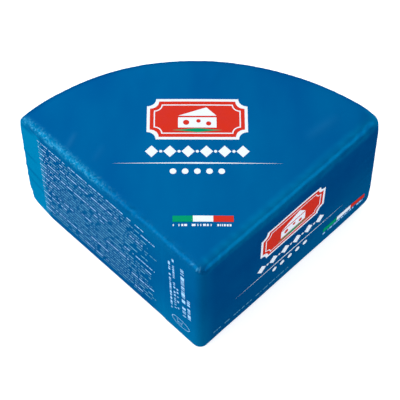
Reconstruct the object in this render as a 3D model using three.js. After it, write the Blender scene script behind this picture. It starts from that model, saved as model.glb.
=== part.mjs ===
// A quarter of a wheel of soft blue-veined cheese, wrapped tight in printed foil: one shut pack.
// Millimetres, +Z up. It stands on its underside, its tip points to -Y and its curved rim to +Y.

import * as THREE from "three";

// The wheel that the quarter is cut from
const WHEEL_RADIUS = 145;
const HEIGHT = 88;
const HALF_CUT = THREE.MathUtils.degToRad(45); // from the middle line to each cut face

// Radii of the upright edges, seen from above
const TIP_RADIUS = 4.5;
const LEFT_RADIUS = 2;
const RIGHT_RADIUS = 5.5;

// Radii of the edge round the top and of the foot, the edge round the underside, and how far
// the foot stands in from the top, in each zone of the outline
const TOP_EDGE = { tip: 4, face: 4.5, left: 7, right: 7, rim: 7 };
const FOOT_EDGE = { tip: 4.5, face: 5.5, left: 9.5, right: 10, rim: 11 };
const LEAN = { tip: 0.2, face: 0.1, left: 0.7, right: -1.2, rim: 1.8 };
const CORNER_REACH = 0.12; // share of a face or of the rim that turns to the next zone's values

// How the soft cheese has settled
const CROWN = 0.8; // rise of the middle of the top
const LEFT_BOW = 0.1; // how far the middle of a cut face is pressed out
const RIGHT_BOW = 0.5;
const RIM_SKEW = 0.8; // the rim is fuller to the left

// The foil's flat pleats down the rim, from nothing at the top
const PLEATS = 14;
const PLEAT_DEPTH = 1.2;
const PLEAT_SWAY = 0.22; // of a pleat's width
const PLEAT_SLOPE = [0, 0.3, 0.6, 0.88]; // places along a pleat, whose last stretch is its step

// The foil's lap, from the right face round the tip to its free edge on the left face
const LAP_END = 28.5; // from the sharp tip
const LAP_STEP = 0.4;
const LAP_EDGE = 0.3;
const LAP_FADE = 60;

// The scalloped foil along the left face's top edge
const SCALLOP_DEPTH = 0.5;
const SCALLOP_PITCH = 9;

// Steps along the outline and up the profile
const TIP_STEPS = 6;
const CORNER_STEPS = 6;
const LAP_STEPS = 5;
const LEFT_STEPS = 28;
const RIGHT_STEPS = 20;
const FOOT_STEPS = 5;
const WALL_STEPS = 5;
const TOP_STEPS = 6;
const INNER_RINGS = [0.35, 0.7]; // sizes of the rings on the top and the underside

const FOIL_BLUE = 0x0366a8;

// The two cut faces, with the corners where they meet the rim
const LEFT = { zone: "left", side: -1, radius: LEFT_RADIUS, bow: LEFT_BOW };
const RIGHT = { zone: "right", side: 1, radius: RIGHT_RADIUS, bow: RIGHT_BOW };

const QUARTER_TURN = Math.PI / 2;
const mix = THREE.MathUtils.lerp;
const heading = (angle) => new THREE.Vector2(Math.cos(angle), Math.sin(angle));

// count + 1 evenly spaced numbers
function spread(from, to, count) {
  return Array.from({ length: count + 1 }, (_, i) => mix(from, to, i / count));
}

// How far a share t of the way has turned to the zone at t = 1
const nearEnd = (t) => THREE.MathUtils.clamp((t - 1) / CORNER_REACH + 1, 0, 1);

// A level of the surface: its height and its inset from the upright wall in each zone, how much
// it faces sideways, and how much of the top edge's scallops it has
function makeLevel(height, inset, sideways, scallop = 0) {
  const leaning = (zone) => inset(zone) + LEAN[zone] * (1 - height(zone) / HEIGHT);
  return { height, inset: leaning, sideways, scallop };
}

// The levels from the edge of the underside, up the wall, to the edge of the top
function makeLevels() {
  const foot = spread(0, QUARTER_TURN, FOOT_STEPS).map((angle) =>
    makeLevel(
      (zone) => FOOT_EDGE[zone] * (1 - Math.cos(angle)),
      (zone) => FOOT_EDGE[zone] * (1 - Math.sin(angle)),
      Math.sin(angle),
    ),
  );
  const wall = spread(0, 1, WALL_STEPS).map((t) =>
    makeLevel(
      (zone) => mix(FOOT_EDGE[zone], HEIGHT - TOP_EDGE[zone], t),
      () => 0,
      1,
    ),
  );
  const top = spread(0, QUARTER_TURN, TOP_STEPS).map((angle) =>
    makeLevel(
      (zone) => HEIGHT - TOP_EDGE[zone] * (1 - Math.sin(angle)),
      (zone) => TOP_EDGE[zone] * (1 - Math.cos(angle)),
      Math.cos(angle),
      Math.sin(2 * angle),
    ),
  );
  return [...foot, ...wall.slice(1, -1), ...top];
}

const raise = (flat, z) => new THREE.Vector3(flat.x, flat.y, z);

// The upright edge at the tip, from left to right
function tipArc(level) {
  const reach = level.inset("tip") + TIP_RADIUS;
  const middle = new THREE.Vector2(0, reach / Math.sin(HALF_CUT));
  const turn = QUARTER_TURN - HALF_CUT;
  const radius = TIP_RADIUS + LAP_STEP * level.sideways;
  return spread(-turn, turn, TIP_STEPS).map((angle) => {
    const flat = middle.clone().addScaledVector(heading(angle - QUARTER_TURN), radius);
    return raise(flat, level.height("tip"));
  });
}

// The lines of a cut face at a level: which way it runs and faces, where its flat starts and
// ends along it, and the middle of the arc that turns it into the rim
function faceLines({ zone, side, radius }, level) {
  const along = heading(QUARTER_TURN - side * HALF_CUT);
  const facing = QUARTER_TURN - side * (HALF_CUT + QUARTER_TURN);
  const outward = heading(facing);
  const start = (level.inset("tip") + TIP_RADIUS) / Math.tan(HALF_CUT);
  const reach = level.inset(zone) + radius;
  const end = Math.sqrt((WHEEL_RADIUS - reach) ** 2 - reach ** 2);
  const middle = along.clone().multiplyScalar(end).addScaledVector(outward, -reach);
  return { along, facing, outward, start, end, middle };
}

// A cut face at a level, at the given distances from the sharp tip. lap and scallop say how far
// the foil stands out at a distance.
function cutFace(corner, level, distances, lap, scallop) {
  const { along, outward, start, end } = faceLines(corner, level);
  return distances.map((distance) => {
    const t = (distance - start) / (end - start);
    const [tip, far] = [nearEnd(1 - t), nearEnd(t)];
    const zoned = (value) =>
      tip * value("tip") + far * value(corner.zone) + (1 - tip - far) * value("face");
    const ripple = scallop(distance) * level.scallop;
    const bulge = corner.bow * (1 - (2 * t - 1) ** 2) + lap(distance) * level.sideways;
    const out = bulge + ripple - zoned(level.inset);
    const flat = along.clone().multiplyScalar(distance).addScaledVector(outward, out);
    return raise(flat, zoned(level.height) + ripple);
  });
}

function rightFace(level) {
  const { start, end } = faceLines(RIGHT, level);
  const lap = (distance) => LAP_STEP * Math.max(0, 1 - distance / LAP_FADE);
  const distances = spread(start, end, RIGHT_STEPS).slice(1, -1);
  return cutFace(RIGHT, level, distances, lap, () => 0);
}

function leftScallop(distance) {
  const turns = distance / SCALLOP_PITCH;
  const waves = Math.sin(2 * Math.PI * turns) + Math.sin(4 * turns);
  return (SCALLOP_DEPTH / 2) * waves * Math.sin((Math.PI * distance) / WHEEL_RADIUS);
}

// The left face from the rim to the tip, with a stop on each side of the lap's edge
function leftFace(level) {
  const { start, end } = faceLines(LEFT, level);
  const lap = (distance) => (distance < LAP_END ? LAP_STEP : 0);
  const lapped = spread(start, LAP_END - LAP_EDGE / 2, LAP_STEPS).slice(1);
  const bare = spread(LAP_END + LAP_EDGE / 2, end, LEFT_STEPS).slice(0, -1);
  return cutFace(LEFT, level, [...lapped, ...bare], lap, leftScallop).reverse();
}

// The upright edge between a cut face and the rim, from the face to the rim
function cornerArc(corner, level) {
  const { facing, middle } = faceLines(corner, level);
  return spread(facing, middle.angle(), CORNER_STEPS).map((angle) => {
    const flat = middle.clone().addScaledVector(heading(angle), corner.radius);
    return raise(flat, level.height(corner.zone));
  });
}

// Where pleat number i starts along the rim, as a share of it, and how deep the pleat is
const pleatStart = (i) => (i + (i % PLEATS ? PLEAT_SWAY * Math.sin(2.4 * i) : 0)) / PLEATS;
const pleatDepth = (i) => PLEAT_DEPTH * (0.75 + 0.25 * Math.sin(1.7 * i));

// One place on the rim at a level, a share t of the way from right to left
function rimPoint(level, t, pleat) {
  const [right, left] = [RIGHT, LEFT].map((corner) => faceLines(corner, level).middle.angle());
  const far = nearEnd(1 - t) + nearEnd(t);
  const zone = t < 0.5 ? "right" : "left";
  const zoned = (value) => far * value(zone) + (1 - far) * value("rim");
  const height = zoned(level.height);
  const settled = -RIM_SKEW * Math.sin(2 * Math.PI * t);
  const folded = pleat * (1 - far) * (1 - height / HEIGHT) * level.sideways;
  const radius = WHEEL_RADIUS + settled + folded - zoned(level.inset);
  return raise(heading(mix(right, left, t)).multiplyScalar(radius), height);
}

// The rim from right to left. Each pleat slopes out and then steps back in.
function rim(level) {
  const places = [];
  for (let i = 0; i < PLEATS; i += 1) {
    for (const share of PLEAT_SLOPE) {
      const t = mix(pleatStart(i), pleatStart(i + 1), share);
      places.push(rimPoint(level, t, (pleatDepth(i) * share) / PLEAT_SLOPE.at(-1)));
    }
  }
  return places.slice(1);
}

// The outline at a level, anticlockwise from the left of the tip
function outline(level) {
  return [
    ...tipArc(level),
    ...rightFace(level),
    ...cornerArc(RIGHT, level),
    ...rim(level),
    ...cornerArc(LEFT, level).reverse(),
    ...leftFace(level),
  ];
}

// A ring on the top or the underside: an outer ring drawn in towards its middle
function innerRing(ring, middle, size, rise) {
  return ring.map((point) => point.clone().lerp(middle, 1 - size).setZ(point.z + rise));
}

// The closed surface: rings from the middle of the underside to the middle of the top
function wedgeGeometry() {
  const walls = makeLevels().map(outline);
  const [foot, brim] = [walls[0], walls.at(-1)];
  const middle = new THREE.Vector3(0, WHEEL_RADIUS * 0.58, 0);
  const crown = (size) => CROWN * (1 - size ** 2);
  const underside = INNER_RINGS.map((size) => innerRing(foot, middle, size, 0));
  const top = INNER_RINGS.toReversed().map((size) => innerRing(brim, middle, size, crown(size)));
  const rings = [...underside, ...walls, ...top];

  const count = foot.length;
  const last = (rings.length - 1) * count;
  const bottomPole = rings.length * count;
  const topPole = bottomPole + 1;
  const faces = [];
  for (let i = 0; i < count; i += 1) {
    const next = (i + 1) % count;
    faces.push(bottomPole, next, i);
    faces.push(topPole, last + i, last + next);
    for (let low = 0; low < last; low += count) {
      const high = low + count;
      faces.push(low + i, low + next, high + next);
      faces.push(low + i, high + next, high + i);
    }
  }
  const poles = [middle, middle.clone().setZ(HEIGHT + CROWN)];
  const geometry = new THREE.BufferGeometry().setFromPoints([...rings.flat(), ...poles]);
  geometry.setIndex(faces);
  geometry.computeVertexNormals();
  return geometry;
}

const foil = new THREE.MeshStandardMaterial({ color: FOIL_BLUE, roughness: 0.35, metalness: 0.5 });
const wedge = new THREE.Mesh(wedgeGeometry(), foil);
wedge.name = "wrapped_wedge";

// The origin is under the middle of the box round the wedge.
wedge.geometry.computeBoundingBox();
const centre = wedge.geometry.boundingBox.getCenter(new THREE.Vector3());
wedge.position.set(-centre.x, -centre.y, 0);

const part = new THREE.Group();
part.add(wedge);

export default part;
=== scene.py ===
"""A shut quarter wheel of soft blue-veined cheese, wrapped tight in printed foil.

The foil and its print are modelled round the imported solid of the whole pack.
"""

import math
import random

import bpy
import numpy as np
from bpy.props import FloatProperty, FloatVectorProperty, IntProperty, PointerProperty
from mathutils import Matrix, Vector, noise


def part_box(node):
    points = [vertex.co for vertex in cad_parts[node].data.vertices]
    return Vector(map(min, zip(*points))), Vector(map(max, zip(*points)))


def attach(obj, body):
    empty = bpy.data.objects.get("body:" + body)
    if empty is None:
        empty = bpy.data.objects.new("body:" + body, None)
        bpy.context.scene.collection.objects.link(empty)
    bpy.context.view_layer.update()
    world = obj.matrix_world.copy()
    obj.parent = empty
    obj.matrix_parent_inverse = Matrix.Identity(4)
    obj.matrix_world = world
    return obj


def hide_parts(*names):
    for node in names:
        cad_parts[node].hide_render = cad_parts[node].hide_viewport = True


bl_info = {
    "name": "Foil-Wrapped Cheese Quarter",
    "version": (1, 0, 0),
    "blender": (4, 5, 0),
    "location": "3D View > Sidebar > Cheese",
    "description": "Models a foil-wrapped quarter wheel of blue cheese round its packed frame",
    "category": "Add Mesh",
}

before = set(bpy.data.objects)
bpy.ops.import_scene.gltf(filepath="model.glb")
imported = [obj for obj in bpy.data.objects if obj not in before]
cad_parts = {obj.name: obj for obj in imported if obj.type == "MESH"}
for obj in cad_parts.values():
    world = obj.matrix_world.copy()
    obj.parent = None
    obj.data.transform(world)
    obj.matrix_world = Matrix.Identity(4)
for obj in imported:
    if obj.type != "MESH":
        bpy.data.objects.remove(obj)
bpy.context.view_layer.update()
NODE = "wrapped_wedge"
LOW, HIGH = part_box(NODE)
MM = 0.001
HALF_CUT = math.radians(45)  # from the middle line to each cut face
UNDERSIDE = 0.5 * MM  # the foil that lies lower than this is the underside's
CLEAR = 30 * MM  # how far off its face a drawing is held before it is pressed on
SCOOP_PROFILE = 0.08  # of a bevel that curves inwards
# Where a pleat's step begins, as a share of its width: on the solid, and crisper on the foil
SOLID_STEP, FOIL_STEP = 0.88, 0.96
# Which slice of the noise each kind of wrinkle is cut from
SLICES = {"crest": 0, "fine": 5, "right": 9, "rim": 13, "gathers": 17, "slight": 23}
# How far the worked foil reaches over the top and down the wall, along each top edge
BANDS = {"left": (5.2 * MM, 5 * MM), "right": (8 * MM, 7 * MM), "rim": (7 * MM, 9 * MM)}
# The upright corners where each cut face meets the rim: radius, and how far the foot stands in
CORNERS = {"right": (5.5 * MM, -1.2 * MM), "left": (2 * MM, 0.7 * MM)}
# How far the foil stands out at each of them: by the top, above the foot and at the foot
SETTLED = {"right": (-0.7 * MM, -0.45 * MM, 0.3 * MM), "left": (-0.25 * MM, -0.85 * MM, 0.7 * MM)}
# Creases in the foil, in mm: the face, both ends on it, width, height and how pale they are worn, a
# paleness that also paints a highlight on the crease; a negative one is painted shade in the
# crease.
# Ends are along and up a face from the sharp tip, round and up the rim, or across and back on top.
CREASES = (
    ("top", (-73, 80), (-69.6, 89), 1.6, 0.12, 0.045),
    ("top", (-58, 72), (-54, 80), 2, 0.08, 0.02),
    ("top", (60, 88), (74, 100), 3, 0.12, 0.03),
    ("top", (5, 124), (12, 138), 2.5, 0.1, 0),
    ("top", (-30, 125), (-34, 139), 2.5, 0.12, 0),
    ("top", (-5.6, 6.4), (-3.8, 5.9), 0.45, 0.12, 0.25),
    ("top", (-3.4, 1.9), (-1.9, 3.6), 0.4, 0.12, 0.5),
    ("top", (-1.1, 1.9), (-0.5, 4.1), 0.4, 0.1, 0.35),
    ("left", (144, 57), (133, 54.5), 1.6, 0.4, -0.2),
    ("left", (144, 42), (130, 38), 1.8, 0.4, -0.25),
    ("left", (144, 32), (128, 27), 1.6, 0.35, -0.2),
    ("left", (143, 81), (133, 81.5), 1.8, -0.3, -0.3),
    ("right", (95, 83), (92, 62), 4, 0.2, 0),
    ("right", (110, 83), (108, 58), 5, 0.22, 0),
    ("right", (126, 83), (125, 66), 4, 0.2, 0),
    ("right", (60, 83), (57, 70), 4, 0.15, 0),
    ("right", (141, 60), (128, 56), 2, 0.2, 0),
    ("right", (141, 40), (130, 37), 2, 0.2, 0),
    ("rim", (18, 80), (21, 30), 1.6, 0.3, 0.1),
    ("rim", (52, 79), (50, 45), 1.6, 0.25, 0.1),
    ("rim", (85, 80), (88, 52), 1.8, 0.25, 0.1),
    ("rim", (120, 79), (117, 38), 1.6, 0.3, 0.1),
    ("rim", (150, 80), (153, 55), 1.6, 0.25, 0.1),
    ("rim", (185, 79), (183, 40), 1.8, 0.3, 0.1),
    ("rim", (208, 80), (211, 45), 1.6, 0.25, 0.1),
)
# The coloured print: the middle and width of the plaque, of the ornament and of the stripes, and
# the left end, length and height of the line under the stripes
DESIGN = {
    "top": {
        "plaque": (-2 * MM, 99 * MM, 56 * MM),
        "ornament": (-2 * MM, 77 * MM, 60 * MM),
        "stripes": (1 * MM, 33.4 * MM, 32.5 * MM),
        "line": (-15 * MM, 29.4 * MM, 32 * MM, 1.3 * MM),
    },
    "right": {
        "plaque": (72 * MM, 58 * MM, 52 * MM),
        "ornament": (72 * MM, 36 * MM, 58 * MM),
        "stripes": (119 * MM, 17.4 * MM, 36 * MM),
        "line": (101 * MM, 13.8 * MM, 35 * MM, 1.5 * MM),
    },
}
STRIPE_HEIGHT = 3.8 * MM
# The block of small print on the left face: how many lines, how high the first is, where they
# start along the face and the length of the longest
BLOCK_LINES = 26
BLOCK_TOP = 79.5 * MM
BLOCK_START = -128.8 * MM
BLOCK_WIDTH = 97 * MM
# Columns of small print by the tip: distance from the sharp tip, top end, length and height
COLUMNS = (
    (23.8 * MM, 73 * MM, 47 * MM, 1.4 * MM),
    (20.9 * MM, 78 * MM, 51 * MM, 1.4 * MM),
    (17.6 * MM, 51 * MM, 24 * MM, 1.3 * MM),
    (14 * MM, 75 * MM, 48 * MM, 2.6 * MM),
    (9.2 * MM, 48 * MM, 21 * MM, 2.2 * MM),
)
COLUMN_TURN = math.radians(-88)
COARSE_MARK = 0.8 * MM  # of the columns, whose letters are larger
OVAL_PLACE = (-15.3 * MM, 16 * MM, 0)  # the oval mark low by the tip
OVAL_TURN = math.radians(-9)
# Spaces between words of fine print, in marks
SPACES = (1, 1, 2, 2, 5)
# The holes in the sign for cheese: right, up and size, as shares of the plaque's width
HOLES = ((-0.11, -0.042, 0.062), (0.012, -0.024, 0.044), (0.112, -0.055, 0.052))
# The lamps, in metres: place, what each points at, and size
LAMPS = {
    "key": ((-1.1, -0.65, 0.75), (0, 0, 0.05), (1.5, 1.2)),
    "overhead": ((-0.55, 0.85, 1.3), (0, 0, 0), (1.4, 1.2)),
    "side": ((1.15, -0.45, 0.55), (0, 0, 0.05), (1.5, 1.0)),
}
DARKER_SIDE = (0.7, -0.7, 0)  # where the surroundings are darker
TARGET = Vector((-0.24 * MM, 7.05 * MM, 36.14 * MM))  # what the camera points at
SENSOR_WIDTH = 36  # the camera's, in millimetres


def linear(code):
    """An sRGB hex colour as linear red, green and blue."""
    values = [int(code[i : i + 2], 16) / 255 for i in (1, 3, 5)]
    return [v / 12.92 if v <= 0.04045 else ((v + 0.055) / 1.055) ** 2.4 for v in values]


def number(name, description, default, **kind):
    return FloatProperty(name=name, description=description, default=default, **kind)


def length(name, description, default):
    return number(name, description, default, unit="LENGTH", precision=5)


def angle(name, description, degrees):
    return number(name, description, math.radians(degrees), subtype="ANGLE")


def factor(name, description, default):
    return number(name, description, default, subtype="FACTOR", min=0, max=1)


def power(name, description, default):
    return number(name, description, default, unit="POWER")


def colour(name, description, code):
    return FloatVectorProperty(
        name=name, description=description, default=linear(code), subtype="COLOR", min=0, max=1
    )


class WrapSettings(bpy.types.PropertyGroup):
    """Sizes of the wrapped wedge and of the folds in its foil."""

    wheel_radius: length("Wheel Radius", "From the sharp tip to the rim", 145 * MM)
    height: length("Height", "Height of the top's edge over the underside", 88 * MM)
    tip_setback: length("Tip Setback", "From the sharp tip to the rounded one", 1.48 * MM)
    grain: length("Grain", "Size of the mesh's faces", 1.12 * MM)
    pleats: IntProperty(name="Pleats", description="Folds of the foil down the rim", default=14)
    pleat_depth: length("Pleat Depth", "How far a pleat stands out at the foot", 1.2 * MM)
    pleat_sway: factor("Pleat Sway", "Unevenness of the pleats, in pleats", 0.22)
    crinkle_depth: length("Crinkle Depth", "Height of the foil's sharp crinkles", 0.25 * MM)
    crinkle_pitch: length("Crinkle Pitch", "Spacing of the crinkles along an edge", 2.4 * MM)
    swell_depth: length("Swell Depth", "Height of the soft unevenness of the faces", 0.2 * MM)
    swell_pitch: length("Swell Pitch", "Spacing of the soft unevenness", 38 * MM)
    gather_depth: length("Gather Depth", "Height of the wrinkles down the rim", 0.35 * MM)
    gather_pitch: length("Gather Pitch", "Spacing of the wrinkles down the rim", 12 * MM)
    flap_reach: length("Flap Reach", "How far the foil is folded in under the foot", 38 * MM)
    flap_step: length("Flap Step", "Rise from one folded layer to the next", 0.2 * MM)


class FoilSettings(bpy.types.PropertyGroup):
    """Colours and finish of the printed foil."""

    blue: colour("Blue", "Printed blue of the foil", "#004679")
    teal: colour("Teal", "Greener patches of the same blue", "#00507f")
    # Painted light: the lighter blue of the painted highlights along the top edges and of the light
    # painted on the cut faces and the folded underside
    light_tone: colour("Turned", "Lighter blue where the foil is drawn round the rim", "#00739d")
    # Pale blue of worn ink on crests and creases, also used for painted highlights there and for
    # the painted glints
    wear_and_highlight: colour("Worn", "Pale blue where a crinkle stretches the ink", "#4c99c0")
    edge: colour("Edge", "Tint of the foil seen at a low angle", "#00a9c3")
    # Spacing of the painted glints, bright points painted into the colour where the foil is
    # crumpled, and of the finest dents
    glint_and_dent_spacing: length("Speckle", "Spacing of the bright points where the foil is crumpled", 1.5 * MM)
    dents: length("Dents", "Depth of the finest dents in the foil", 0.06 * MM)
    roughness: factor("Roughness", "Roughness of the lacquered foil", 0.36)
    metallic: factor("Metallic", "How far the foil shows through its ink", 0.5)


class PrintSettings(bpy.types.PropertyGroup):
    """Colours and sizes of the print."""

    white: colour("White", "White ink", "#ccd3d9")
    red: colour("Red", "Red ink", "#b52a1b")
    green: colour("Green", "Green ink", "#04825a")
    pale: colour("Pale Blue", "Pale blue of small headings and columns", "#8ab6dc")
    fine: colour("Fine Print", "Blue of the smallest print, too thin to show white", "#5a98b7")
    film: length("Film", "Thickness of a layer of ink", 0.04 * MM)
    roughness: factor("Roughness", "Roughness of the dry ink", 0.42)
    thin: factor("Thin", "How much blue shows through the thinnest ink", 0.03)
    cell: length("Cell", "Size of the faces of a large drawing", 4 * MM)
    mark: length("Mark", "Width of the finest marks, coarse enough to show", 0.6 * MM)
    line: length("Line", "Spacing of the lines of small print", 2.75 * MM)


class StageSettings(bpy.types.PropertyGroup):
    """Floor, lights and camera."""

    floor: colour("Floor", "Colour of the floor", "#bcbcbc")
    lens: number("Lens", "Focal length in millimetres", 135, unit="CAMERA")
    azimuth: angle("Azimuth", "Turn of the camera from the front", -0.595)
    elevation: angle("Elevation", "Height of the camera over the horizon", 56.245)
    roll: angle("Roll", "Tilt of the picture", 0.562)
    distance: length("Distance", "From the camera to its target", 864.8 * MM)
    key: power("Key", "Power of the key light", 13.5)
    fill: power("Fill", "Power of the overhead light", 4.2)
    side: power("Side", "Power of the light on the right", 9.0)
    table: number("Table", "Strength of the light through the floor", 0.68)
    sky: colour("Sky", "Light from most of the surroundings", "#f2f2f4")
    dusk: colour("Dusk", "Light from the surroundings on the right", "#616b7f")
    glow: number("Glow", "Strength of the surroundings", 1.92)
    warm: colour("Warm", "Tint of the key light", "#fff6e8")


def settings():
    """What the add-on's properties are set to."""
    return bpy.context.scene.cheese_quarter


# Tools


def select_only(piece):
    """Selects one piece and makes it active."""
    bpy.ops.object.select_all(action="DESELECT")
    piece.select_set(True)
    bpy.context.view_layer.objects.active = piece


def modify(piece, kind, **values):
    """Adds a modifier with its settings and applies it."""
    select_only(piece)
    modifier = piece.modifiers.new(kind.title(), kind)
    for name, value in values.items():
        setattr(modifier, name, value)
    bpy.ops.object.modifier_apply(modifier=modifier.name)


def points_of(piece):
    """The places of a piece's points, one row each."""
    found = np.empty(len(piece.data.vertices) * 3)
    piece.data.vertices.foreach_get("co", found)
    return found.reshape(-1, 3)


def normals_of(piece):
    """The directions the surface faces at a piece's points, one row each."""
    found = np.empty(len(piece.data.vertices) * 3)
    piece.data.vertex_normals.foreach_get("vector", found)
    return found.reshape(-1, 3)


def move_points(piece, points):
    piece.data.vertices.foreach_set("co", points.ravel())
    piece.data.update()


def finish_piece(piece, name):
    """Names a finished piece and says what it rides on."""
    piece.name = name
    piece.data.name = name
    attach(piece, "root")


def add_node(tree, kind, values=(), links=(), **own):
    """Adds a node with its own settings. Values and links fill its inputs by name or number."""
    node = tree.nodes.new(kind)
    for name, value in own.items():
        setattr(node, name, value)
    for name, value in dict(values).items():
        node.inputs[name].default_value = value
    for name, source in dict(links).items():
        tree.links.new(source, node.inputs[name])
    return node


def make_material(name):
    """A material with only a Principled shader, and its tree and shader."""
    material = bpy.data.materials.new(name)
    material.use_nodes = True
    tree = material.node_tree
    shader = tree.nodes["Principled BSDF"]
    return material, tree, shader


def noise_value(tree, where, size, detail, roughness=0.5):
    """Noise whose lumps are about this size."""
    values = {"Scale": 1 / size, "Detail": detail, "Roughness": roughness}
    return add_node(tree, "ShaderNodeTexNoise", values, {"Vector": where}).outputs["Fac"]


def stretched_value(tree, value, low, high, top=1.0):
    """A value spread out so that the low one becomes 0 and the high one the top."""
    values = {"From Min": low, "From Max": high, "To Max": top}
    return add_node(tree, "ShaderNodeMapRange", values, {"Value": value}).outputs["Result"]


def point_value(tree, name):
    """What a piece's points are marked with."""
    return add_node(tree, "ShaderNodeAttribute", attribute_name=name).outputs["Fac"]


def mixed_colour(tree, share, first, second):
    """A share of the way from one colour to another. The first may be another node's output."""
    values, links = {7: (*second, 1)}, {0: share}
    if isinstance(first, bpy.types.NodeSocket):
        links[6] = first
    else:
        values[6] = (*first, 1)
    return add_node(tree, "ShaderNodeMix", values, links, data_type="RGBA").outputs[2]


# The foil


def smooth(low, high, values):
    """0 up to the low value and 1 from the high one, with a soft rise between them."""
    t = np.clip((values - low) / (high - low), 0, 1)
    return t * t * (3 - 2 * t)


def rim_length():
    """The rim's length from one cut face to the other."""
    return settings().wrap.wheel_radius * (math.pi - 2 * HALF_CUT)


def corner_turn(side, up):
    """The angle from a cut face's line to the start of the rim, at a height."""
    radius, lean = CORNERS[side]
    reach = radius + lean * (1 - up / settings().wrap.height)
    return np.arcsin(reach / (settings().wrap.wheel_radius - reach))


def wedge_places(points):
    """Where each point lies: distances along and in from both cut faces, in from the rim, its
    share of the way along the rim, and its distances from the underside and the top."""
    x, y, z = points.T
    y = y - (LOW.y - settings().wrap.tip_setback)
    sine, cosine = math.sin(HALF_CUT), math.cos(HALF_CUT)
    far = np.hypot(x, y)
    first = HALF_CUT + corner_turn("right", z)
    last = math.pi - HALF_CUT - corner_turn("left", z)
    return {
        "x": x,
        "y": y,
        "left": y * cosine - x * sine,
        "right": y * cosine + x * sine,
        "in_left": x * cosine + y * sine,
        "in_right": y * sine - x * cosine,
        "in_rim": settings().wrap.wheel_radius - far,
        "around": (np.arctan2(y, x) - first) / (last - first),
        "up": z,
        "down": settings().wrap.height - z,
    }


def along_edge(inwards, down, over, under):
    """1 along a top edge, fading out over the top and down the wall under it."""
    return (1 - smooth(0.3 * over, over, inwards)) * (1 - smooth(0.4 * under, under, down))


def ridges(u, v, kind, mask):
    """Noise with sharp crests, from 0 to 1, where the mask isn't 0."""
    found = np.zeros(len(u))
    for i in np.flatnonzero(mask > 0.01):
        place = Vector((u[i], v[i], SLICES[kind]))
        found[i] = 1 - min(1.0, 2.2 * abs(noise.noise(place)))
    return found


def swells(points, pitch):
    """Soft noise, from -1 to 1."""
    return np.array([noise.noise(Vector(p)) for p in points / pitch])


def pleat_profile(share, step):
    """A pleat's slope, up to its step and steeply down to the next pleat."""
    return np.minimum(share / step, np.clip((1 - share) / (1 - step), 0, 1))


def pleat_relief(at):
    """How far the foil's pleats stand out from the solid's, and the share of the way across its
    pleat that each point has."""
    wrap = settings().wrap
    count = wrap.pleats
    edges = np.arange(count + 1, dtype=float)
    edges[1:-1] += wrap.pleat_sway * np.sin(2.4 * edges[1:-1])
    cell = np.clip(np.searchsorted(edges / count, at["around"], side="right") - 1, 0, count - 1)
    start, end = edges[cell] / count, edges[cell + 1] / count
    share = np.clip((at["around"] - start) / (end - start), 0, 1)
    depth = wrap.pleat_depth * (0.75 + 0.25 * np.sin(1.7 * cell))
    crisper = pleat_profile(share, FOIL_STEP) - pleat_profile(share, SOLID_STEP)
    near_corner = np.minimum(at["around"], 1 - at["around"])
    held = smooth(0.0, 0.12, near_corner) * (at["in_rim"] < 9 * MM)
    return depth * crisper * held * np.clip(1 - at["up"] / HIGH.z, 0, 1), share


def rim_gathers(at):
    """Sharp upright wrinkles where the foil is drawn round the rim, and how pale their crests are
    from worn ink and a painted highlight.
    """
    wrap = settings().wrap
    on_rim = (1 - smooth(3 * MM, 6 * MM, at["in_rim"])) * smooth(4 * MM, 16 * MM, at["down"])
    on_rim = on_rim * smooth(0.0, 0.06, np.minimum(at["around"], 1 - at["around"]))
    along = rim_length() * at["around"]
    broad = ridges(along / wrap.gather_pitch, at["up"] / (80 * MM), "gathers", on_rim)
    slight = ridges(along / (0.4 * wrap.gather_pitch), at["up"] / (30 * MM), "slight", on_rim)
    height = on_rim * wrap.gather_depth * (broad + 0.4 * slight - 0.7)
    # Paleness on the wrinkles' crests: worn ink and a painted highlight
    return height, on_rim * 0.12 * smooth(0.85, 1, broad)


def refine(piece, mask):
    """Splits the faces in a mask's reach in four."""
    select_only(piece)
    chosen = mask > 0.02
    mesh = piece.data
    mesh.vertices.foreach_set("select", chosen)
    corners = np.empty(len(mesh.loops), np.int32)
    mesh.loops.foreach_get("vertex_index", corners)
    starts = np.empty(len(mesh.polygons), np.int32)
    mesh.polygons.foreach_get("loop_start", starts)
    faces = np.logical_and.reduceat(chosen[corners], starts)
    mesh.polygons.foreach_set("select", faces)
    bpy.ops.object.mode_set(mode="EDIT")
    bpy.ops.mesh.select_mode(type="FACE")
    bpy.ops.mesh.subdivide(number_cuts=1)
    bpy.ops.object.mode_set(mode="OBJECT")


def edge_bands(at):
    """How strongly the foil is worked along each top edge: the left one most, away from the tip."""
    over, under = BANDS["left"]
    near = 1 - smooth(30 * MM, 90 * MM, at["left"])
    wave = np.sin(at["left"] / (3.1 * MM)) + np.sin(at["left"] / (1.7 * MM) + 1)
    under = under + 2.5 * MM * near + 0.5 * MM * wave
    left = along_edge(at["in_left"], at["down"], over, under)
    left = left * (0.12 + 0.88 * smooth(52 * MM, 108 * MM, at["left"]))
    over, under = BANDS["right"]
    far = smooth(15 * MM, 70 * MM, at["right"])
    right = along_edge(at["in_right"], at["down"], over, under + 4 * MM * far)
    rim = along_edge(at["in_rim"], at["down"], *BANDS["rim"])
    off_tip = smooth(2 * MM, 10 * MM, at["y"] / math.sin(HALF_CUT))
    return left * off_tip, right * off_tip, rim


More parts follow.
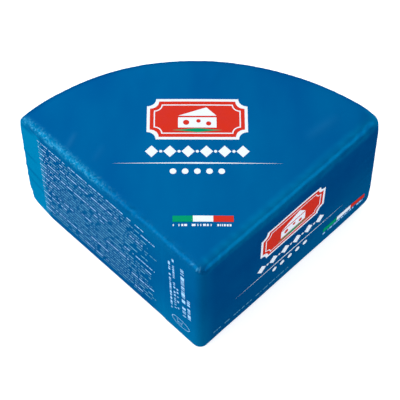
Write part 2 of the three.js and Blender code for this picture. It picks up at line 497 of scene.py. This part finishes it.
def crumpled_edges(at, left, right, rim):
    """The height of the crinkles along the top edges, how pale the left edge's crests are from worn
    ink and a painted highlight, and the crests of the right edge's, which brighten its painted
    highlight."""
    wrap = settings().wrap
    pitch = wrap.crinkle_pitch
    across = (at["in_left"] - at["down"]) / pitch
    crest = ridges(at["left"] / pitch, across / 1.5, "crest", left)
    fine = ridges(at["left"] / (0.5 * pitch), across / 0.7, "fine", left)
    height = left * wrap.crinkle_depth * (crest + 0.5 * fine - 0.8)
    across = (at["in_right"] - at["down"]) / (3 * pitch)
    slow = ridges(at["right"] / (3 * pitch), across, "right", right)
    height += right * wrap.crinkle_depth * 0.3 * (slow - 0.6)
    around = at["around"] * 200 * MM / (2 * pitch)
    brow = ridges(around, at["in_rim"] / (3 * pitch), "rim", rim)
    height += rim * wrap.crinkle_depth * 0.4 * (brow - 0.6)
    # The left edge's paleness: worn ink and a painted highlight on the crests
    return height, left * (0.4 * (crest - 0.6) + 0.3 * (fine - 0.5)), slow


def settled_corners(at):
    """How far the foil is pressed in, or slumps out, where each cut face meets the rim."""
    height = np.zeros(len(at["up"]))
    corner = settings().wrap.wheel_radius * math.sin(HALF_CUT)
    for side, turn in (("left", -1), ("right", 1)):
        top, above, foot = SETTLED[side]
        away = np.hypot(at["x"] - turn * corner, at["y"] - corner)
        near = 1 - smooth(4 * MM, 16 * MM, away)
        level = top * (1 - smooth(4 * MM, 16 * MM, at["down"]))
        level += above * np.exp(-(((at["up"] - 11.5 * MM) / (5 * MM)) ** 2))
        level += foot * np.exp(-(((at["up"] - 3 * MM) / (2.5 * MM)) ** 2))
        height += near * level
    return height


def crease_relief(at):
    """The height of the separate creases, and their paleness: worn ink with a painted highlight
    where it is positive, painted shade in the crease where it is negative.
    """
    faces = {
        "top": (at["x"], at["y"], at["down"] < 3 * MM),
        "left": (at["left"], at["up"], at["in_left"] < 3 * MM),
        "right": (at["right"], at["up"], at["in_right"] < 3 * MM),
        "rim": (at["around"] * rim_length(), at["up"], at["in_rim"] < 5 * MM),
    }
    height = np.zeros(len(at["up"]))
    wear_light_and_shade = np.zeros(len(at["up"]))
    for face, start, end, width, rise, pale in CREASES:
        u, v, on_face = faces[face]
        from_start = np.column_stack((u, v)) - np.array(start) * MM
        way = (np.array(end) - np.array(start)) * MM
        share = np.clip(from_start @ way / (way @ way), 0, 1)
        off = np.linalg.norm(from_start - share[:, None] * way, axis=1)
        shape = np.exp(-((off / (width * MM)) ** 2)) * np.sqrt(np.sin(np.pi * (0.1 + 0.8 * share)))
        height += rise * MM * shape * on_face
        wear_light_and_shade += pale * shape * on_face
    return height, wear_light_and_shade


def turned_under(at):
    """How high the folded foil lies over the table, and the light painted on it: the rim's pleats,
    with painted light rising across each pleat, then the left flap and the right flap on them, each
    a layer nearer the table and each painted its own lightness."""
    wrap = settings().wrap
    reach, step = wrap.flap_reach, wrap.flap_step
    edge = np.minimum(np.minimum(at["in_left"], at["in_right"]), at["in_rim"])
    height = np.full(len(edge), 3 * step)
    tone = np.zeros(len(edge))
    pleat = (at["around"] * wrap.pleats + 0.3 * np.sin(at["around"] * 40)) % 1
    # Each layer: how far in it lies, its height, and the light painted on it
    layers = (
        (at["in_rim"], 2 * step + 0.8 * step * pleat, 0.35 * pleat),
        (at["in_left"], step, 0.1),
        (at["in_right"], 0, 0.4),
    )
    for inwards, level, shade in layers:
        under = 1 - smooth(reach - 1.5 * MM, reach, inwards)
        height = height * (1 - under) + level * under
        tone = tone * (1 - under) + shade * under
    lip = smooth(12 * MM, 18 * MM, edge)
    return height * lip, tone * lip


def painted_light_places(at):
    """Where light is painted into the blue: a painted highlight by the rim's left corner, painted
    light over the left face, more by the tip, low down and under the top edge, and painted light
    low on the right face towards the rim.
    """
    on_left = 1 - smooth(2 * MM, 12 * MM, at["in_left"])
    on_right = 1 - smooth(2 * MM, 12 * MM, at["in_right"])
    # A painted highlight in a band by the rim's left corner
    by_corner = smooth(123 * MM, 130 * MM, at["left"]) * smooth(3 * MM, 6 * MM, at["down"])
    low = 1 - smooth(0, 55 * MM, at["up"])
    by_tip = 1 - smooth(30 * MM, 46 * MM, at["left"])
    by_rim = smooth(25 * MM, 110 * MM, at["right"])
    by_top = 1 - smooth(7 * MM, 12 * MM, at["down"])
    # Painted light on the left face: a little all over, more by the tip and lower down, and a band
    # under the top edge away from the tip
    plain = 0.06 + (0.14 + 0.3 * low) * by_tip + 0.22 * by_top * (1 - by_tip)
    plain *= smooth(2 * MM, 6 * MM, at["down"])
    # Painted light low on the right face, more towards the rim
    return on_left * np.maximum(by_corner, plain) + on_right * 0.3 * low * by_rim


def solid_skin():
    """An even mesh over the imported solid, finer where the foil is worked or has a step."""
    wrap = settings().wrap
    piece = bpy.data.objects.new("foil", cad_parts[NODE].data.copy())
    bpy.context.scene.collection.objects.link(piece)
    piece.data.materials.clear()
    select_only(piece)
    bpy.ops.object.mode_set(mode="EDIT")
    bpy.ops.mesh.select_all(action="SELECT")
    bpy.ops.mesh.remove_doubles(threshold=0.01 * MM)
    bpy.ops.object.mode_set(mode="OBJECT")
    modify(piece, "REMESH", mode="VOXEL", voxel_size=wrap.grain)
    modify(piece, "SMOOTH", factor=0.5, iterations=4)

    at = wedge_places(points_of(piece))
    left, _, _ = edge_bands(at)
    by_tip = (at["y"] < 11 * MM) & (at["down"] < 5 * MM)
    _, share = pleat_relief(at)
    on_rim = (at["in_rim"] < 5 * MM) & (at["up"] < wrap.height - 12 * MM)
    step = on_rim & ((share > 0.8) | (share < 0.06))
    refine(piece, np.maximum(left, step | by_tip))
    return piece


def model_foil():
    """The foil wrap, with marks on its points that say where it is crumpled, where it is pale from
    worn ink and painted highlights, and where light and shade are painted into its blue.
    """
    wrap = settings().wrap
    piece = solid_skin()
    points = points_of(piece)
    normals = normals_of(piece)
    at = wedge_places(points)
    left, right, rim = edge_bands(at)
    height, wear_and_highlight, slow = crumpled_edges(at, left, right, rim)
    gathers, gather_wear_and_highlight = rim_gathers(at)
    height += gathers
    creased, wear_light_and_shade = crease_relief(at)
    height += creased + pleat_relief(at)[0] + settled_corners(at)
    height += wrap.swell_depth * swells(points, wrap.swell_pitch)
    under = at["up"] < UNDERSIDE
    height[under] = 0
    points = points + normals * height[:, None]
    folded, shade = turned_under(at)
    points[under, 2] = folded[under]
    points[:, 2] = np.maximum(points[:, 2], 0)
    move_points(piece, points)

    # Paleness from worn ink, with painted highlights, on the crinkles' crests, the creases and the
    # rim's wrinkles
    wear_and_highlight = wear_and_highlight + np.maximum(wear_light_and_shade, 0) + gather_wear_and_highlight
    # Painted light: highlights along the top edges and by the rim's right corner, the lighter
    # places on the cut faces, and the folded layers underneath
    corner = 1 - smooth(0.01, 0.04, at["around"])
    light_tone = painted_light_places(at) + 0.45 * left + 0.4 * right * (0.6 + 0.6 * slow)
    light_tone += 0.4 * rim * corner
    light_tone[under] = shade[under]
    # Painted shade in the creases whose paleness is negative
    light_tone *= 1 + 2 * np.minimum(wear_light_and_shade, 0)
    for name, values in (("wear_and_highlight", wear_and_highlight), ("crumpled", left), ("light_tone", light_tone)):
        mark = piece.data.attributes.new(name, "FLOAT", "POINT")
        mark.data.foreach_set("value", np.clip(values, 0, 1).astype(np.float32))
    select_only(piece)
    bpy.ops.object.shade_smooth()
    piece.data.materials.append(lacquered_foil())
    finish_piece(piece, "foil_wrap")
    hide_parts(NODE)


def lacquered_foil():
    """Aluminium foil, rolled, printed blue and lacquered: its reflections are coloured and spread
    softly; its ink is paler where it is worn and where highlights are painted, with painted glints
    as bright points where the foil is crumpled, and light and shade are painted into its blue."""
    look = settings().foil
    material, tree, shader = make_material("lacquered_blue_foil")
    where = add_node(tree, "ShaderNodeTexCoord").outputs["Object"]
    # The blue drifts to teal in patches, and is lighter where light is painted into it
    drawn_out = add_node(tree, "ShaderNodeMapping", {"Scale": (1, 0.45, 1)}, {"Vector": where})
    patches = noise_value(tree, drawn_out.outputs["Vector"], 40 * MM, 3)
    ink = mixed_colour(tree, stretched_value(tree, patches, 0.35, 0.65), look.blue, look.teal)
    with_painted_light = mixed_colour(tree, point_value(tree, "light_tone"), ink, look.light_tone)
    # Crumpled places get painted glints, bright points in the colour, and worn ones are pale, with
    # painted highlights on crests
    points = noise_value(tree, where, look.glint_and_dent_spacing, 2, 0.6)
    painted_glints = stretched_value(tree, points, 0.54, 0.7)
    crumpled = point_value(tree, "crumpled")
    painted_glint_share = add_node(
        tree, "ShaderNodeMath", links={0: painted_glints, 1: crumpled}, operation="MULTIPLY"
    ).outputs["Value"]
    wear_and_highlight = point_value(tree, "wear_and_highlight")
    pale = add_node(
        tree, "ShaderNodeMath", {1: 0.5}, {0: painted_glint_share, 2: wear_and_highlight}, operation="MULTIPLY_ADD"
    ).outputs["Value"]
    tree.links.new(mixed_colour(tree, pale, with_painted_light, look.wear_and_highlight), shader.inputs["Base Color"])
    # Small dents, which are sharper where the foil is crumpled
    soft = noise_value(tree, where, 7 * MM, 2)
    dents = add_node(
        tree, "ShaderNodeMath", links={0: points, 1: crumpled, 2: soft}, operation="MULTIPLY_ADD"
    ).outputs["Value"]
    bump = add_node(tree, "ShaderNodeBump", {"Distance": look.dents}, {"Height": dents})
    tree.links.new(bump.outputs["Normal"], shader.inputs["Normal"])
    shader.inputs["Metallic"].default_value = look.metallic
    shader.inputs["Roughness"].default_value = look.roughness
    shader.inputs["Specular IOR Level"].default_value = 0.0
    shader.inputs["Specular Tint"].default_value = (*look.edge, 1)
    return material


# The print


def flat_plane(width, height, x=0.0, y=0.0):
    """A flat rectangle about a point."""
    bpy.ops.object.select_all(action="DESELECT")
    bpy.ops.mesh.primitive_plane_add(size=1)
    return place_flat(width, height, x, y)


def flat_round(width, height, x=0.0, y=0.0, sides=32):
    """A flat ellipse about a point, or a lozenge if it has four sides."""
    bpy.ops.object.select_all(action="DESELECT")
    bpy.ops.mesh.primitive_circle_add(vertices=sides, radius=0.5, fill_type="NGON")
    return place_flat(width, height, x, y)


def place_flat(width, height, x, y):
    """Sizes the new flat shape and moves it to its place."""
    piece = bpy.context.active_object
    piece.scale = (width, height, 1)
    piece.location = (x, y, 0)
    bpy.ops.object.transform_apply()
    return piece


def scooped_plane(width, height, scoop, x=0.0, y=0.0):
    """A rectangle whose corners are scooped out, as on a ticket."""
    piece = flat_plane(width, height, x, y)
    bpy.ops.object.mode_set(mode="EDIT")
    bpy.ops.mesh.select_all(action="SELECT")
    bpy.ops.mesh.bevel(affect="VERTICES", offset=scoop, segments=8, profile=SCOOP_PROFILE)
    bpy.ops.object.mode_set(mode="OBJECT")
    return piece


def keep_ring(piece, thickness):
    """Leaves only a border of a flat shape."""
    select_only(piece)
    bpy.ops.object.mode_set(mode="EDIT")
    bpy.ops.mesh.select_all(action="SELECT")
    bpy.ops.mesh.inset(thickness=thickness)
    bpy.ops.mesh.delete(type="FACE")
    bpy.ops.object.mode_set(mode="OBJECT")
    return piece


def joined(pieces):
    """The flat shapes as one piece."""
    bpy.ops.object.select_all(action="DESELECT")
    for piece in pieces:
        piece.select_set(True)
    bpy.context.view_layer.objects.active = pieces[0]
    bpy.ops.object.join()
    return pieces[0]


def row_of(make, count, pitch, x, y):
    """Copies of a flat shape in a row about a point."""
    first = x - (count - 1) / 2 * pitch
    return [make(first + step * pitch, y) for step in range(count)]


def wedge_sign(width, height, x, y):
    """A plain sign for a piece of cheese: its side, and its top drawn in to a point."""
    side = flat_plane(width, 0.5 * height, x, y - 0.25 * height)
    top = flat_plane(width, 0.42 * height, x, y + 0.29 * height)
    bpy.ops.object.mode_set(mode="EDIT")
    bpy.ops.mesh.select_mode(type="VERT")
    bpy.ops.mesh.select_all(action="DESELECT")
    bpy.ops.object.mode_set(mode="OBJECT")
    for corner in top.data.vertices:
        corner.select = corner.co.y > y + 0.3 * height
    bpy.ops.object.mode_set(mode="EDIT")
    bpy.ops.mesh.merge(type="CENTER")
    bpy.ops.transform.translate(value=(0.24 * width, 0, 0))
    bpy.ops.object.mode_set(mode="OBJECT")
    return joined([side, top])


def fine_line(long, height, x, y, draw, weight=0.5, mark=None):
    """A line of print too fine to read, from its left end: words of upright marks, coarser than
    letters so that they show. The weight is the share of a word that is inked."""
    mark = mark or settings().print.mark
    count = max(round(long / mark), 2)
    bpy.ops.object.select_all(action="DESELECT")
    bpy.ops.mesh.primitive_grid_add(x_subdivisions=count, y_subdivisions=1, size=1)
    piece = place_flat(count * mark, height, x + count * mark / 2, y)
    bpy.ops.object.mode_set(mode="EDIT")
    bpy.ops.mesh.select_mode(type="FACE")
    bpy.ops.mesh.select_all(action="SELECT")
    bpy.ops.object.mode_set(mode="OBJECT")
    column = 0
    while column < count:
        end = min(column + draw.randint(3, 11), count)
        for place in range(column, end):
            piece.data.polygons[place].select = place > column and draw.random() > weight
        column = end + draw.choice(SPACES)
    bpy.ops.object.mode_set(mode="EDIT")
    bpy.ops.mesh.delete(type="FACE")
    bpy.ops.object.mode_set(mode="OBJECT")
    return piece


def face_axes(face):
    """A face's own axes from the sharp tip: x along it, y up it or back, and z outwards."""
    across, back = math.sin(HALF_CUT), math.cos(HALF_CUT)
    along, out = {
        "top": (Vector((1, 0, 0)), Vector((0, 0, 1))),
        "right": (Vector((across, back, 0)), Vector((back, -across, 0))),
        "left": (Vector((across, -back, 0)), Vector((-back, -across, 0))),
    }[face]
    axes = Matrix((along, out.cross(along), out)).transposed().to_4x4()
    return Matrix.Translation((0, LOW.y - settings().wrap.tip_setback, 0)) @ axes


def lay_print(piece, name, face, layer, ink):
    """Turns a flat drawing into a film of ink on a face of the foil, on the layers below it."""
    look = settings().print
    select_only(piece)
    points = points_of(piece)
    for axis in (0, 1):
        low, high = points[:, axis].min(), points[:, axis].max()
        steps = math.ceil((high - low) / look.cell)
        for place in np.linspace(low, high, steps + 1)[1:-1]:
            where, facing = [0, 0, 0], [0, 0, 0]
            where[axis], facing[axis] = place, 1
            bpy.ops.object.mode_set(mode="EDIT")
            bpy.ops.mesh.select_all(action="SELECT")
            bpy.ops.mesh.bisect(plane_co=where, plane_no=facing)
            bpy.ops.object.mode_set(mode="OBJECT")
    away = HIGH.z + CLEAR if face == "top" else CLEAR
    piece.matrix_world = face_axes(face) @ Matrix.Translation((0, 0, away))
    bpy.context.view_layer.update()
    modify(
        piece,
        "SHRINKWRAP",
        target=bpy.data.objects["foil_wrap"],
        wrap_method="PROJECT",
        use_project_z=True,
        use_positive_direction=False,
        use_negative_direction=True,
        offset=look.film * (layer + 1),
    )
    modify(piece, "SOLIDIFY", thickness=look.film, offset=1)
    bpy.ops.object.transform_apply()
    piece.data.materials.clear()
    piece.data.materials.append(ink)
    finish_piece(piece, name)


def plaque(face, x, y, width, inks):
    """A red ticket with a white border and rule, and a sign for cheese over a green ground."""
    height = 0.5 * width
    border = 0.03 * width
    scoop = 0.09 * width
    edge = scooped_plane(width, height, scoop, x, y)
    lay_print(edge, f"{face}_plaque_edge", face, 0, inks["white"])
    field = scooped_plane(width - 2 * border, height - 2 * border, scoop, x, y)
    lay_print(field, f"{face}_plaque_field", face, 1, inks["red"])
    rule = scooped_plane(width - 4.6 * border, height - 4.6 * border, 0.85 * scoop, x, y)
    keep_ring(rule, 0.012 * width)
    sign = wedge_sign(0.38 * width, 0.25 * width, x, y + 0.02 * width)
    lay_print(joined([rule, sign]), f"{face}_plaque_sign", face, 2, inks["white"])
    ground = flat_round(0.5 * width, 0.048 * width, x, y - 0.136 * width, 4)
    lay_print(ground, f"{face}_plaque_ground", face, 2, inks["green"])
    holes = [
        flat_round(size * width, size * width, x + right * width, y + up * width, 16)
        for right, up, size in HOLES
    ]
    lay_print(joined(holes), f"{face}_plaque_holes", face, 3, inks["red"])


def tricolour(face, x, y, width, height, inks):
    """Three equal fields side by side."""
    third = width / 3
    for step, ink in ((-1, "green"), (0, "white"), (1, "red")):
        field = flat_plane(third, height, x + step * third, y)
        lay_print(field, f"{face}_stripe_{ink}", face, 0, inks[ink])


def ornament(face, x, y, width, inks):
    """A band of lozenges and dots over a long tapered rule, and a row of dots under it."""
    height = 0.13 * width
    pitch = width / 6
    lozenges = row_of(lambda u, v: flat_round(0.72 * pitch, height, u, v, 4), 6, pitch, x, y)
    dots = row_of(lambda u, v: flat_round(0.03 * width, 0.03 * width, u, v, 16), 5, pitch, x, y)
    rule = flat_round(1.55 * width, 0.016 * width, x, y - 0.13 * width, 4)
    below = y - 0.22 * width
    spot = 0.06 * width
    small = row_of(lambda u, v: flat_round(spot, spot, u, v), 5, 0.11 * width, x, below)
    lay_print(joined(lozenges + dots + small + [rule]), f"{face}_ornament", face, 0, inks["white"])


def print_inks():
    """The inks by name."""
    look = settings().print
    return {
        "white": ink_film("white_ink", look.white),
        "red": ink_film("red_ink", look.red),
        "green": ink_film("green_ink", look.green),
        "pale": ink_film("pale_blue_ink", look.pale),
        "fine": ink_film("thin_blue_ink", look.fine),
    }


def ink_film(name, shade):
    """Opaque ink under lacquer: flat colour without sheen, a little thinner here and there."""
    made = bpy.data.materials.get(name)
    if made:
        return made
    look = settings().print
    material, tree, shader = make_material(name)
    where = add_node(tree, "ShaderNodeTexCoord").outputs["Object"]
    thinner = stretched_value(tree, noise_value(tree, where, 6 * MM, 2), 0.3, 0.7, look.thin)
    tint = mixed_colour(tree, thinner, shade, settings().foil.blue)
    tree.links.new(tint, shader.inputs["Base Color"])
    shader.inputs["Roughness"].default_value = look.roughness
    shader.inputs["Specular IOR Level"].default_value = 0.0
    return material


def coloured_print(face, draw, inks, line_ink):
    """The plaque, the ornament and the stripes of a face, and the line under them."""
    places = DESIGN[face]
    plaque(face, *places["plaque"], inks)
    ornament(face, *places["ornament"], inks)
    tricolour(face, *places["stripes"], STRIPE_HEIGHT, inks)
    x, y, long, height = places["line"]
    line = fine_line(long, height, x, y, draw, weight=0.7, mark=0.5 * MM)
    lay_print(line, f"{face}_small_print", face, 0, inks[line_ink])


def print_top():
    """The print on the top."""
    coloured_print("top", random.Random(5), print_inks(), "white")


def print_right():
    """The print on the right face, with a line along its foot."""
    inks = print_inks()
    draw = random.Random(6)
    coloured_print("right", draw, inks, "pale")
    foot = fine_line(62 * MM, 0.6 * MM, 10 * MM, 11 * MM, draw, weight=0.8)
    lay_print(foot, "right_foot_line", "right", 0, inks["fine"])


def print_left():
    """The print on the left face: the block, the columns by the tip and the oval mark."""
    inks = print_inks()
    draw = random.Random(7)
    headings, rows = text_block(draw)
    lay_print(joined(headings), "left_headings", "left", 0, inks["pale"])
    lay_print(joined(rows), "left_fine_print", "left", 0, inks["fine"])
    columns = []
    for from_tip, top, long, high in COLUMNS:
        weight = 0.6 if high > 2 * MM else 0.5
        column = fine_line(long, high, 0, 0, draw, weight, COARSE_MARK)
        columns.append(turned_flat(column, COLUMN_TURN, (-from_tip, top, 0)))
    lay_print(joined(columns), "left_column_print", "left", 0, inks["pale"])
    oval = keep_ring(flat_round(14 * MM, 7.5 * MM), 0.35 * MM)
    inside = fine_line(6 * MM, 0.8 * MM, -3 * MM, 1 * MM, draw)
    below = fine_line(5 * MM, 0.8 * MM, -2.5 * MM, -1 * MM, draw)
    oval = turned_flat(joined([oval, inside, below]), OVAL_TURN, OVAL_PLACE)
    lay_print(oval, "left_oval_mark", "left", 0, inks["pale"])


def text_block(draw):
    """The block's lines, one with headings in it, then one of fine print only, and so on down."""
    headings, rows = [], []
    for row in range(BLOCK_LINES):
        up = BLOCK_TOP - row * settings().print.line
        end = BLOCK_START + BLOCK_WIDTH * draw.uniform(0.75 if row % 2 else 0.9, 1)
        if row % 2:
            line = fine_line(end - BLOCK_START, 0.45 * MM, BLOCK_START, up, draw, weight=0.85)
            rows.append(line)
            continue
        place, bold = BLOCK_START, True
        while place < end - 4 * MM:
            run = min(draw.uniform(5 * MM, 26 * MM), end - place)
            line = fine_line(run, 0.75 * MM, place, up, draw, weight=0.9)
            (headings if bold else rows).append(line)
            place += run + 1.5 * MM
            bold = draw.random() < 0.35
    return headings, rows


def turned_flat(piece, turn, place):
    """Turns a flat shape and moves it to its place on the face."""
    piece.rotation_euler.z = turn
    piece.location = place
    select_only(piece)
    bpy.ops.object.transform_apply()
    return piece


# The stage


def add_floor():
    """Matt white paper on a light table: an even white ground that keeps only a faint shadow."""
    stage = settings().stage
    bpy.ops.mesh.primitive_plane_add(size=8)
    floor = bpy.context.active_object
    floor.name = "floor"
    paper, _, shader = make_material("matt_paper")
    shader.inputs["Base Color"].default_value = (*stage.floor, 1)
    shader.inputs["Roughness"].default_value = 0.9
    shader.inputs["Emission Color"].default_value = (1, 1, 1, 1)
    shader.inputs["Emission Strength"].default_value = stage.table
    floor.data.materials.append(paper)
    floor.visible_glossy = False


def add_lamp(name, energy, tint=(1, 1, 1)):
    """One of the large soft lamps."""
    position, target, size = LAMPS[name]
    bpy.ops.object.light_add(type="AREA", location=position)
    lamp = bpy.context.active_object
    lamp.name = name
    lamp.data.shape = "RECTANGLE"
    lamp.data.size, lamp.data.size_y = size
    lamp.data.energy = energy
    lamp.data.color = tint
    lamp.rotation_euler = (Vector(target) - Vector(position)).to_track_quat("-Z", "Y").to_euler()


def add_surroundings():
    """A pale studio, darker on one side, for the foil to reflect."""
    stage = settings().stage
    world = bpy.data.worlds.new("grey_studio")
    world.use_nodes = True
    tree = world.node_tree
    background = tree.nodes["Background"]
    toward = add_node(tree, "ShaderNodeTexCoord").outputs["Generated"]
    light_tone = add_node(
        tree, "ShaderNodeVectorMath", {1: DARKER_SIDE}, {0: toward}, operation="DOT_PRODUCT"
    ).outputs["Value"]
    share = stretched_value(tree, light_tone, -0.5, 0.7)
    light = mixed_colour(tree, share, stage.sky, stage.dusk)
    tree.links.new(light, background.inputs["Color"])
    background.inputs["Strength"].default_value = stage.glow
    bpy.context.scene.world = world


def add_camera():
    """The camera of the photo."""
    stage = settings().stage
    azimuth, elevation, roll = stage.azimuth, stage.elevation, stage.roll
    back = Vector(
        (
            math.sin(azimuth) * math.cos(elevation),
            -math.cos(azimuth) * math.cos(elevation),
            math.sin(elevation),
        )
    )
    bpy.ops.object.camera_add()
    camera = bpy.context.active_object
    camera.name = "camera"
    camera.data.lens = stage.lens
    camera.data.sensor_width = SENSOR_WIDTH
    camera.data.clip_start = 50 * MM
    right = (-back).cross(Vector((0, 0, 1))).normalized()
    up = right.cross(-back)
    level = right * math.cos(roll) + up * math.sin(roll)
    upright = up * math.cos(roll) - right * math.sin(roll)
    turn = Matrix((level, upright, back)).transposed()
    camera.matrix_world = Matrix.Translation(TARGET + back * stage.distance) @ turn.to_4x4()
    bpy.context.scene.camera = camera


def make_stage():
    """The floor, the lamps, the surroundings and the camera."""
    stage = settings().stage
    add_floor()
    add_lamp("key", stage.key, stage.warm)
    add_lamp("overhead", stage.fill)
    add_lamp("side", stage.side)
    add_surroundings()
    bpy.context.scene.view_settings.view_transform = "Standard"
    add_camera()


class CHEESE_OT_foil(bpy.types.Operator):
    """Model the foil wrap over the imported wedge"""

    bl_idname = "cheese.foil"
    bl_label = "Foil Wrap"

    def execute(self, context):
        model_foil()
        return {"FINISHED"}


class CHEESE_OT_print_top(bpy.types.Operator):
    """Lay the plaque, ornament and stripes on the top"""

    bl_idname = "cheese.print_top"
    bl_label = "Print on the Top"

    def execute(self, context):
        print_top()
        return {"FINISHED"}


class CHEESE_OT_print_right(bpy.types.Operator):
    """Lay the plaque, ornament and stripes on the right cut face"""

    bl_idname = "cheese.print_right"
    bl_label = "Print on the Right Face"

    def execute(self, context):
        print_right()
        return {"FINISHED"}


class CHEESE_OT_print_left(bpy.types.Operator):
    """Lay the small print on the left cut face"""

    bl_idname = "cheese.print_left"
    bl_label = "Print on the Left Face"

    def execute(self, context):
        print_left()
        return {"FINISHED"}


class CHEESE_OT_stage(bpy.types.Operator):
    """Add the floor, the lights and the camera"""

    bl_idname = "cheese.stage"
    bl_label = "Stage"

    def execute(self, context):
        make_stage()
        return {"FINISHED"}


class CheeseQuarterSettings(bpy.types.PropertyGroup):
    """All settings of the wrapped quarter."""

    wrap: PointerProperty(type=WrapSettings)
    foil: PointerProperty(type=FoilSettings)
    print: PointerProperty(type=PrintSettings)
    stage: PointerProperty(type=StageSettings)


OPERATORS = (
    CHEESE_OT_foil,
    CHEESE_OT_print_top,
    CHEESE_OT_print_right,
    CHEESE_OT_print_left,
    CHEESE_OT_stage,
)


class CHEESE_PT_panel(bpy.types.Panel):
    """Lists the steps that build the wrapped quarter."""

    bl_label = "Cheese Quarter"
    bl_idname = "CHEESE_PT_panel"
    bl_space_type = "VIEW_3D"
    bl_region_type = "UI"
    bl_category = "Cheese"

    def draw(self, context):
        for operator in OPERATORS:
            self.layout.operator(operator.bl_idname)


CLASSES = (
    WrapSettings,
    FoilSettings,
    PrintSettings,
    StageSettings,
    CheeseQuarterSettings,
    *OPERATORS,
    CHEESE_PT_panel,
)


def register():
    for cls in CLASSES:
        bpy.utils.register_class(cls)
    bpy.types.Scene.cheese_quarter = PointerProperty(type=CheeseQuarterSettings)


def unregister():
    del bpy.types.Scene.cheese_quarter
    for cls in reversed(CLASSES):
        bpy.utils.unregister_class(cls)


def main():
    register()
    bpy.ops.cheese.foil()
    bpy.ops.cheese.print_top()
    bpy.ops.cheese.print_right()
    bpy.ops.cheese.print_left()
    bpy.ops.cheese.stage()


if __name__ == "__main__":
    main()
